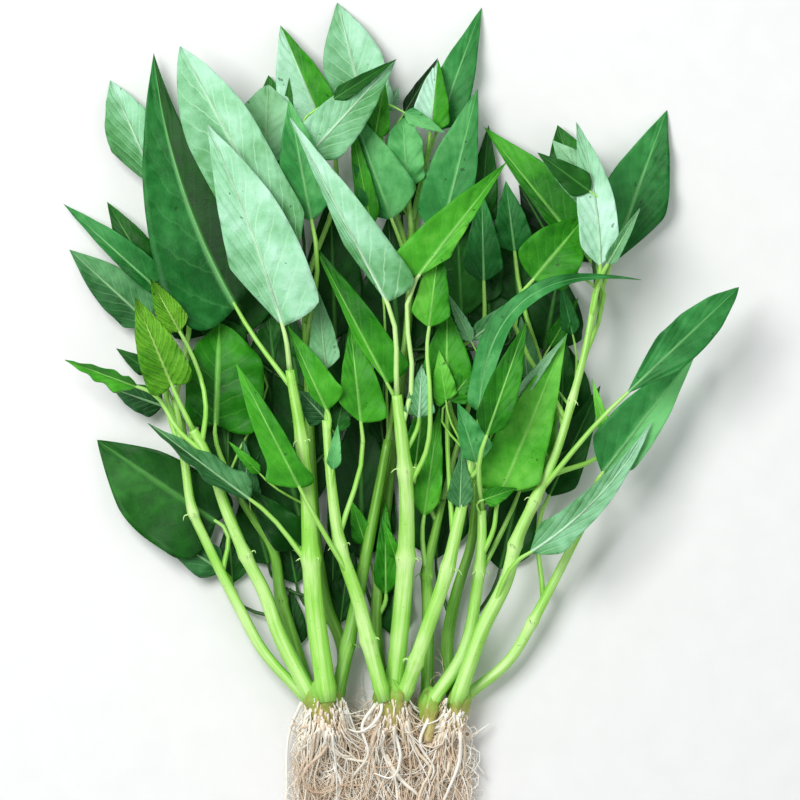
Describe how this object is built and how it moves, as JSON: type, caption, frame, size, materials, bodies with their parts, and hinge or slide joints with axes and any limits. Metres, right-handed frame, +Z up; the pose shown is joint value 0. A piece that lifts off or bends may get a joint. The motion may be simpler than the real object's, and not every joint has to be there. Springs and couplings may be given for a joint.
{
  "type": "water spinach",
  "caption": "Rooted clump of water spinach lying flat: matted roots, crowns, a fan of stems and arrowhead leaves.",
  "frame": {"origin": "centre of the bounding box in plan, on the surface that the clump lies on", "axes": "+Y from the roots to the leaf tips, +Z up, away from the surface"},
  "size_m": [0.3384, 0.4276, 0.0662],
  "materials": {
    "leaf_upper_side": "satin",
    "leaf_shaded": "satin",
    "leaf_bright": "satin",
    "leaf_underside": "matte",
    "leaf_greyish": "matte",
    "leaf_young": "satin",
    "stem": "satin",
    "stem_shaded": "satin",
    "crown": "matte",
    "root": "matte"
  },
  "bodies": {
    "root": {"crown_left": "crown", "crown_centre": "crown", "crown_inner_right": "crown", "crown_right": "crown", "roots_left": "root", "roots_centre": "root", "roots_right": "root", "stem_left_low": "stem_shaded", "stem_under_left": "stem_shaded", "stem_under_centre": "stem_shaded", "stem_under_right": "stem_shaded", "stem_inner_left_low": "stem_shaded", "stem_far_left": "stem", "stem_left": "stem", "stem_front_left": "stem", "stem_inner_left": "stem", "stem_centre": "stem", "stem_right_low": "stem_shaded", "stem_inner_right": "stem", "stem_right_mid": "stem", "stem_far_right": "stem", "stem_right": "stem", "leaf_low_left": "leaf_shaded", "leaf_left_grey": "leaf_greyish", "leaf_left_back": "leaf_upper_side", "leaf_top_left_pale": "leaf_underside", "leaf_top_right": "leaf_upper_side", "leaf_top_tall_right": "leaf_upper_side", "leaf_top_pale": "leaf_underside", "leaf_top_folded": "leaf_underside", "leaf_right_back": "leaf_bright", "leaf_inner_right_dark": "leaf_upper_side", "leaf_top_right_inner": "leaf_upper_side", "leaf_top_small_folded": "leaf_underside", "leaf_centre_back": "leaf_upper_side", "leaf_top_slanting": "leaf_underside", "leaf_centre_left": "leaf_upper_side", "leaf_left_broad": "leaf_upper_side", "leaf_left_large": "leaf_upper_side", "leaf_left_large_pale": "leaf_underside", "leaf_pointing_left": "leaf_bright", "leaf_young_veined": "leaf_young", "leaf_left_narrow": "leaf_greyish", "leaf_inner_centre": "leaf_bright", "leaf_inner_left": "leaf_bright", "leaf_front_low": "leaf_bright", "leaf_right_inner_grey": "leaf_greyish", "leaf_right_short": "leaf_bright", "leaf_long_dark": "leaf_bright", "leaf_right_mid": "leaf_bright", "leaf_right_long": "leaf_upper_side", "leaf_right_large": "leaf_bright", "leaf_right_olive": "leaf_bright", "leaf_far_right_pale": "leaf_greyish", "leaf_far_right": "leaf_upper_side", "leaf_right_low_pale": "leaf_underside", "leaf_right_cupped": "leaf_underside", "leaf_top_front": "leaf_bright", "leaf_centre_bright": "leaf_underside", "leaf_front_pale": "leaf_underside"}
  },
  "joints": []
}
